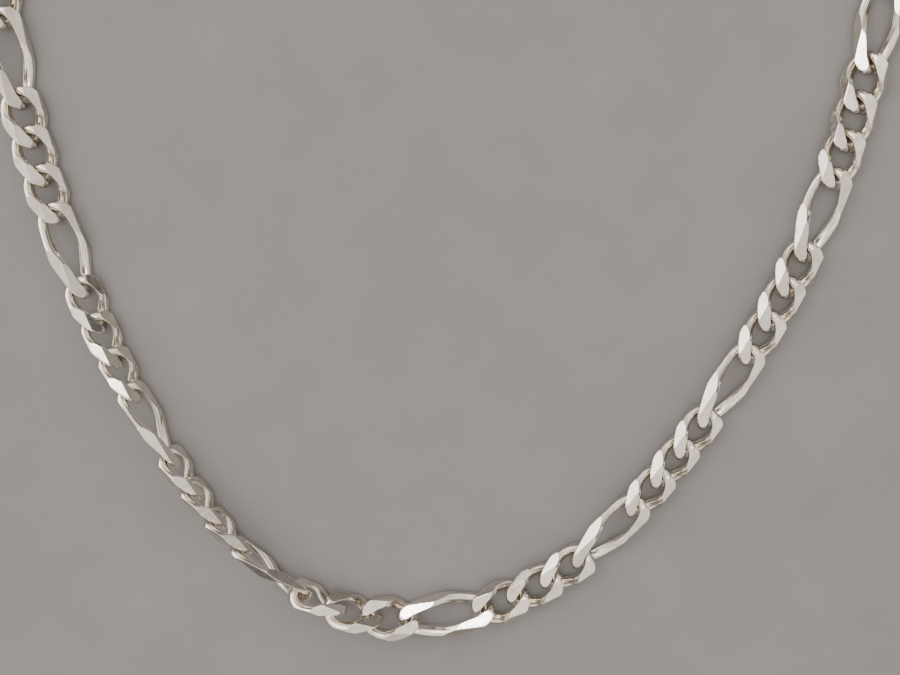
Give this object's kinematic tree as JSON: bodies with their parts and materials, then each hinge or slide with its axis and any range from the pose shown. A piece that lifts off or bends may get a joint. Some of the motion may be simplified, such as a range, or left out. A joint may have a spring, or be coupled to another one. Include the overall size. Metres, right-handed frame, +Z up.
{
  "type": "chain necklace",
  "caption": "Flat figaro chain necklace with a lobster clasp, laid unfastened in a U; every link turns on its neighbours.",
  "frame": {"origin": "on the surface the necklace lies on, at the middle of the rectangle it covers", "axes": "+Z up from the surface, +Y from the bottom of the U up along its arms, +X to the right"},
  "size_m": [0.1574, 0.199, 0.0079],
  "materials": {
    "chain_silver": "polished, ground faces",
    "ring_silver": "polished",
    "clasp_silver": "polished",
    "spring_steel": "plain"
  },
  "bodies": {
    "short_link_01_a": {"short_link_01_a": "chain_silver"},
    "short_link_01_b": {"short_link_01_b": "chain_silver"},
    "short_link_01_c": {"short_link_01_c": "chain_silver"},
    "long_link_01": {"long_link_01": "chain_silver"},
    "short_link_02_a": {"short_link_02_a": "chain_silver"},
    "short_link_02_b": {"short_link_02_b": "chain_silver"},
    "short_link_02_c": {"short_link_02_c": "chain_silver"},
    "long_link_02": {"long_link_02": "chain_silver"},
    "short_link_03_a": {"short_link_03_a": "chain_silver"},
    "short_link_03_b": {"short_link_03_b": "chain_silver"},
    "short_link_03_c": {"short_link_03_c": "chain_silver"},
    "long_link_03": {"long_link_03": "chain_silver"},
    "short_link_04_a": {"short_link_04_a": "chain_silver"},
    "short_link_04_b": {"short_link_04_b": "chain_silver"},
    "short_link_04_c": {"short_link_04_c": "chain_silver"},
    "long_link_04": {"long_link_04": "chain_silver"},
    "short_link_05_a": {"short_link_05_a": "chain_silver"},
    "short_link_05_b": {"short_link_05_b": "chain_silver"},
    "short_link_05_c": {"short_link_05_c": "chain_silver"},
    "long_link_05": {"long_link_05": "chain_silver"},
    "short_link_06_a": {"short_link_06_a": "chain_silver"},
    "short_link_06_b": {"short_link_06_b": "chain_silver"},
    "short_link_06_c": {"short_link_06_c": "chain_silver"},
    "long_link_06": {"long_link_06": "chain_silver"},
    "short_link_07_a": {"short_link_07_a": "chain_silver"},
    "short_link_07_b": {"short_link_07_b": "chain_silver"},
    "short_link_07_c": {"short_link_07_c": "chain_silver"},
    "long_link_07": {"long_link_07": "chain_silver"},
    "short_link_08_a": {"short_link_08_a": "chain_silver"},
    "short_link_08_b": {"short_link_08_b": "chain_silver"},
    "short_link_08_c": {"short_link_08_c": "chain_silver"},
    "long_link_08": {"long_link_08": "chain_silver"},
    "short_link_09_a": {"short_link_09_a": "chain_silver"},
    "short_link_09_b": {"short_link_09_b": "chain_silver"},
    "short_link_09_c": {"short_link_09_c": "chain_silver"},
    "long_link_09": {"long_link_09": "chain_silver"},
    "short_link_10_a": {"short_link_10_a": "chain_silver"},
    "short_link_10_b": {"short_link_10_b": "chain_silver"},
    "short_link_10_c": {"short_link_10_c": "chain_silver"},
    "long_link_10": {"long_link_10": "chain_silver"},
    "short_link_11_a": {"short_link_11_a": "chain_silver"},
    "short_link_11_b": {"short_link_11_b": "chain_silver"},
    "short_link_11_c": {"short_link_11_c": "chain_silver"},
    "long_link_11": {"long_link_11": "chain_silver"},
    "short_link_12_a": {"short_link_12_a": "chain_silver"},
    "short_link_12_b": {"short_link_12_b": "chain_silver"},
    "short_link_12_c": {"short_link_12_c": "chain_silver"},
    "long_link_12": {"long_link_12": "chain_silver"},
    "short_link_13_a": {"short_link_13_a": "chain_silver"},
    "short_link_13_b": {"short_link_13_b": "chain_silver"},
    "short_link_13_c": {"short_link_13_c": "chain_silver"},
    "long_link_13": {"long_link_13": "chain_silver"},
    "end_ring": {"end_ring": "ring_silver"},
    "clasp_ring": {"clasp_ring": "ring_silver"},
    "clasp": {"clasp_body": "clasp_silver", "clasp_rivet": "clasp_silver", "clasp_spring": "spring_steel"},
    "clasp_trigger": {"clasp_trigger": "clasp_silver"}
  },
  "joints": [
    {"name": "short_link_01_a_swing", "type": "hinge", "parent": "short_link_01_b", "child": "short_link_01_a", "pos_m": [-0.07173, 0.08322, 0.0015], "axis": [0, 0, 1], "range_deg": [-13.5, 16]},
    {"name": "short_link_01_b_fold", "type": "hinge", "parent": "short_link_01_c", "child": "short_link_01_b", "pos_m": [-0.07261, 0.07678, 0.00151], "axis": [0.9921, -0.1258, 0], "range_deg": [-25.5, 24]},
    {"name": "short_link_01_c_swing", "type": "hinge", "parent": "long_link_01", "child": "short_link_01_c", "pos_m": [-0.07336, 0.07032, 0.00159], "axis": [-0.0362, -0.0111, -0.9993], "range_deg": [-16.5, 13]},
    {"name": "long_link_01_fold", "type": "hinge", "parent": "short_link_02_a", "child": "long_link_01", "pos_m": [-0.07443, 0.05747, 0.00176], "axis": [-0.9922, 0.0675, 0.1045], "range_deg": [-22.5, 21.5]},
    {"name": "short_link_02_a_swing", "type": "hinge", "parent": "short_link_02_b", "child": "short_link_02_a", "pos_m": [-0.07474, 0.05097, 0.00193], "axis": [0.1745, 0.0192, 0.9845], "range_deg": [-13.5, 16]},
    {"name": "short_link_02_b_fold", "type": "hinge", "parent": "short_link_02_c", "child": "short_link_02_b", "pos_m": [-0.07491, 0.04448, 0.00209], "axis": [0.9701, -0.0196, -0.2419], "range_deg": [-24, 23.5]},
    {"name": "short_link_02_c_swing", "type": "hinge", "parent": "long_link_02", "child": "short_link_02_c", "pos_m": [-0.07493, 0.03798, 0.00225], "axis": [-0.3088, -0.0205, -0.9509], "range_deg": [-17, 12.5]},
    {"name": "long_link_02_fold", "type": "hinge", "parent": "short_link_03_a", "child": "long_link_02", "pos_m": [-0.07452, 0.02508, 0.00237], "axis": [-0.9311, -0.0417, 0.3625], "range_deg": [-23.5, 24]},
    {"name": "short_link_03_a_swing", "type": "hinge", "parent": "short_link_03_b", "child": "short_link_03_a", "pos_m": [-0.07408, 0.0186, 0.00245], "axis": [0.4005, 0.0439, 0.9152], "range_deg": [-13.5, 16]},
    {"name": "short_link_03_b_fold", "type": "hinge", "parent": "short_link_03_c", "child": "short_link_03_b", "pos_m": [-0.07348, 0.01212, 0.00253], "axis": [0.8921, 0.092, -0.4423], "range_deg": [-25.5, 24]},
    {"name": "short_link_03_c_swing", "type": "hinge", "parent": "long_link_03", "child": "short_link_03_c", "pos_m": [-0.07268, 0.00567, 0.0026], "axis": [-0.4744, -0.0795, -0.8767], "range_deg": [-17.5, 12]},
    {"name": "long_link_03_fold", "type": "hinge", "parent": "short_link_04_a", "child": "long_link_03", "pos_m": [-0.07043, -0.00703, 0.00268], "axis": [-0.8364, -0.1656, 0.5226], "range_deg": [-23, 23]},
    {"name": "short_link_04_a_swing", "type": "hinge", "parent": "short_link_04_b", "child": "short_link_04_a", "pos_m": [-0.06896, -0.01336, 0.00275], "axis": [0.5476, 0.1451, 0.8241], "range_deg": [-13.5, 16]},
    {"name": "short_link_04_b_fold", "type": "hinge", "parent": "short_link_04_c", "child": "short_link_04_b", "pos_m": [-0.06731, -0.01965, 0.00282], "axis": [0.7664, 0.2052, -0.6088], "range_deg": [-25.5, 24]},
    {"name": "short_link_04_c_swing", "type": "hinge", "parent": "long_link_04", "child": "short_link_04_c", "pos_m": [-0.0655, -0.02589, 0.00288], "axis": [-0.6185, -0.1981, -0.7604], "range_deg": [-16.5, 13]},
    {"name": "long_link_04_fold", "type": "hinge", "parent": "short_link_05_a", "child": "long_link_04", "pos_m": [-0.06146, -0.03814, 0.00294], "axis": [-0.6632, -0.2224, 0.7146], "range_deg": [-14, 21.5]},
    {"name": "short_link_05_a_swing", "type": "hinge", "parent": "short_link_05_b", "child": "short_link_05_a", "pos_m": [-0.05911, -0.0442, 0.00315], "axis": [0.7292, 0.3229, 0.6033], "range_deg": [-12.5, 15.5]},
    {"name": "short_link_05_b_fold", "type": "hinge", "parent": "short_link_05_c", "child": "short_link_05_b", "pos_m": [-0.05652, -0.05016, 0.00344], "axis": [0.466, 0.1786, -0.8666], "range_deg": [-18, 14.5]},
    {"name": "short_link_05_c_swing", "type": "hinge", "parent": "long_link_05", "child": "short_link_05_c", "pos_m": [-0.05366, -0.056, 0.00367], "axis": [-0.8125, -0.438, -0.3846], "range_deg": [-17, 12.5]},
    {"name": "long_link_05_fold", "type": "hinge", "parent": "short_link_06_a", "child": "long_link_05", "pos_m": [-0.04734, -0.06725, 0.00382], "axis": [-0.2387, -0.1256, 0.9629], "range_deg": [-15.5, 21]},
    {"name": "short_link_06_a_swing", "type": "hinge", "parent": "short_link_06_b", "child": "short_link_06_a", "pos_m": [-0.04385, -0.07273, 0.00392], "axis": [0.818, 0.5542, 0.1543], "range_deg": [-14, 15.5]},
    {"name": "short_link_06_b_fold", "type": "hinge", "parent": "short_link_06_c", "child": "short_link_06_b", "pos_m": [-0.04007, -0.07802, 0.00396], "axis": [0.0322, 0.0187, -0.9993], "range_deg": [-23, 13]},
    {"name": "short_link_06_c_swing", "type": "hinge", "parent": "long_link_06", "child": "short_link_06_c", "pos_m": [-0.03587, -0.08298, 0.00394], "axis": [-0.6986, -0.7109, 0.081], "range_deg": [-14, 11.5]},
    {"name": "long_link_06_fold", "type": "hinge", "parent": "short_link_07_a", "child": "long_link_06", "pos_m": [-0.02588, -0.09115, 0.00398], "axis": [0.0212, -0.0713, 0.9972], "range_deg": [-11.5, 20.5]},
    {"name": "short_link_07_a_swing", "type": "hinge", "parent": "short_link_07_b", "child": "short_link_07_a", "pos_m": [-0.02005, -0.09401, 0.00365], "axis": [0.3602, 0.8198, 0.4452], "range_deg": [-8.5, 21]},
    {"name": "short_link_07_b_fold", "type": "hinge", "parent": "short_link_07_c", "child": "short_link_07_b", "pos_m": [-0.01379, -0.09573, 0.00311], "axis": [0.0739, 0.7586, -0.6474], "range_deg": [-24.5, 15]},
    {"name": "short_link_07_c_swing", "type": "hinge", "parent": "long_link_07", "child": "short_link_07_c", "pos_m": [-0.00732, -0.09636, 0.00263], "axis": [-0.0588, -0.372, -0.9264], "range_deg": [-26, 3.5]},
    {"name": "short_link_08_a_fold", "type": "hinge", "parent": "long_link_07", "child": "short_link_08_a", "pos_m": [0.00548, -0.0947, 0.002], "axis": [0.2399, -0.958, 0.1572], "range_deg": [-27, 22.5]},
    {"name": "short_link_08_b_swing", "type": "hinge", "parent": "short_link_08_a", "child": "short_link_08_b", "pos_m": [0.01159, -0.09249, 0.00171], "axis": [0.0086, -0.0051, 1], "range_deg": [-23.5, 6]},
    {"name": "short_link_08_c_fold", "type": "hinge", "parent": "short_link_08_b", "child": "short_link_08_c", "pos_m": [0.01729, -0.08935, 0.00201], "axis": [-0.5415, 0.8259, 0.1567], "range_deg": [-20.5, 23.5]},
    {"name": "long_link_08_swing", "type": "hinge", "parent": "short_link_08_c", "child": "long_link_08", "pos_m": [0.02248, -0.08545, 0.00242], "axis": [-0.179, 0.244, -0.9531], "range_deg": [-7.5, 22]},
    {"name": "short_link_09_a_fold", "type": "hinge", "parent": "long_link_08", "child": "short_link_09_a", "pos_m": [0.03154, -0.07626, 0.00247], "axis": [0.6913, -0.6189, -0.3729], "range_deg": [-22, 27]},
    {"name": "short_link_09_b_swing", "type": "hinge", "parent": "short_link_09_a", "child": "short_link_09_b", "pos_m": [0.03566, -0.07124, 0.00239], "axis": [0.2908, -0.2263, 0.9296], "range_deg": [-17, 12.5]},
    {"name": "short_link_09_c_fold", "type": "hinge", "parent": "short_link_09_b", "child": "short_link_09_c", "pos_m": [0.03955, -0.06603, 0.00238], "axis": [-0.7552, 0.5448, 0.3645], "range_deg": [-25.5, 24]},
    {"name": "long_link_09_swing", "type": "hinge", "parent": "short_link_09_c", "child": "long_link_09", "pos_m": [0.04326, -0.06069, 0.00237], "axis": [-0.3017, 0.197, -0.9328], "range_deg": [-12.5, 17]},
    {"name": "short_link_10_a_fold", "type": "hinge", "parent": "long_link_09", "child": "short_link_10_a", "pos_m": [0.05014, -0.04978, 0.00233], "axis": [0.8066, -0.4835, -0.34], "range_deg": [-21.5, 26]},
    {"name": "short_link_10_b_swing", "type": "hinge", "parent": "short_link_10_a", "child": "short_link_10_b", "pos_m": [0.05332, -0.04411, 0.00224], "axis": [0.2726, -0.1322, 0.953], "range_deg": [-17, 12.5]},
    {"name": "short_link_10_c_fold", "type": "hinge", "parent": "short_link_10_b", "child": "short_link_10_c", "pos_m": [0.05626, -0.03831, 0.00215], "axis": [-0.8698, 0.4162, 0.2652], "range_deg": [-25.5, 24]},
    {"name": "long_link_10_swing", "type": "hinge", "parent": "short_link_10_c", "child": "long_link_10", "pos_m": [0.05889, -0.03237, 0.00207], "axis": [-0.2148, 0.0744, -0.9738], "range_deg": [-11, 18.5]},
    {"name": "short_link_11_a_fold", "type": "hinge", "parent": "long_link_10", "child": "short_link_11_a", "pos_m": [0.06329, -0.02024, 0.00193], "axis": [0.9352, -0.311, -0.1694], "range_deg": [-18.5, 23.5]},
    {"name": "short_link_11_b_swing", "type": "hinge", "parent": "short_link_11_a", "child": "short_link_11_b", "pos_m": [0.06514, -0.01401, 0.00171], "axis": [0.0948, -0.0011, 0.9955], "range_deg": [-16.5, 13]},
    {"name": "short_link_11_c_fold", "type": "hinge", "parent": "short_link_11_b", "child": "short_link_11_c", "pos_m": [0.06678, -0.00772, 0.00154], "axis": [-0.9708, 0.2396, 0.0131], "range_deg": [-20.5, 24]},
    {"name": "long_link_11_swing", "type": "hinge", "parent": "short_link_11_c", "child": "long_link_11", "pos_m": [0.06824, -0.00139, 0.00164], "axis": [0.0664, -0.0017, -0.9978], "range_deg": [-12.5, 17]},
    {"name": "short_link_12_a_fold", "type": "hinge", "parent": "long_link_11", "child": "short_link_12_a", "pos_m": [0.07061, 0.01129, 0.00182], "axis": [0.9784, -0.1651, 0.1248], "range_deg": [-24, 24]},
    {"name": "short_link_12_b_swing", "type": "hinge", "parent": "short_link_12_a", "child": "short_link_12_b", "pos_m": [0.07156, 0.01772, 0.00191], "axis": [-0.1656, 0.007, 0.9862], "range_deg": [-16, 13.5]},
    {"name": "short_link_12_c_fold", "type": "hinge", "parent": "short_link_12_b", "child": "short_link_12_c", "pos_m": [0.07235, 0.02417, 0.00205], "axis": [-0.9727, 0.1085, -0.2051], "range_deg": [-23.5, 20.5]},
    {"name": "long_link_12_swing", "type": "hinge", "parent": "short_link_12_c", "child": "long_link_12", "pos_m": [0.07299, 0.03064, 0.00207], "axis": [0.196, -0.0233, -0.9803], "range_deg": [-13, 16.5]},
    {"name": "short_link_13_a_fold", "type": "hinge", "parent": "long_link_12", "child": "short_link_13_a", "pos_m": [0.07384, 0.04351, 0.00194], "axis": [0.9888, -0.0485, 0.1413], "range_deg": [-24.5, 25]},
    {"name": "short_link_13_b_swing", "type": "hinge", "parent": "short_link_13_a", "child": "short_link_13_b", "pos_m": [0.07408, 0.05001, 0.00181], "axis": [-0.0843, 0.0247, 0.9961], "range_deg": [-16, 13.5]},
    {"name": "short_link_13_c_fold", "type": "hinge", "parent": "short_link_13_b", "child": "short_link_13_c", "pos_m": [0.07419, 0.05651, 0.00163], "axis": [-0.9996, 0.0082, -0.0284], "range_deg": [-24, 25.5]},
    {"name": "long_link_13_swing", "type": "hinge", "parent": "short_link_13_c", "child": "long_link_13", "pos_m": [0.07419, 0.06301, 0.00151], "axis": [0, -0.0058, -1], "range_deg": [-13.5, 16]},
    {"name": "end_ring_fold", "type": "hinge", "parent": "short_link_01_a", "child": "end_ring", "pos_m": [-0.07071, 0.08966, 0.0015], "axis": [0.9876, -0.1568, 0], "range_deg": [-35, 35]},
    {"name": "clasp_ring_fold", "type": "hinge", "parent": "long_link_13", "child": "clasp_ring", "pos_m": [0.07389, 0.07593, 0.0015], "axis": [-0.9997, -0.0237, 0], "range_deg": [-30, 30]},
    {"name": "clasp_swing", "type": "hinge", "parent": "clasp_ring", "child": "clasp", "pos_m": [0.07375, 0.08181, 0.0022], "axis": [0, 0, 1], "range_deg": [-18, 18]},
    {"name": "clasp_trigger_press", "type": "hinge", "parent": "clasp", "child": "clasp_trigger", "pos_m": [0.07338, 0.08881, 0.00165], "axis": [0, 0, -1], "range_deg": [0, 25], "stiffness_Nm_per_rad": 0.01, "springref_deg": -8.59}
  ]
}
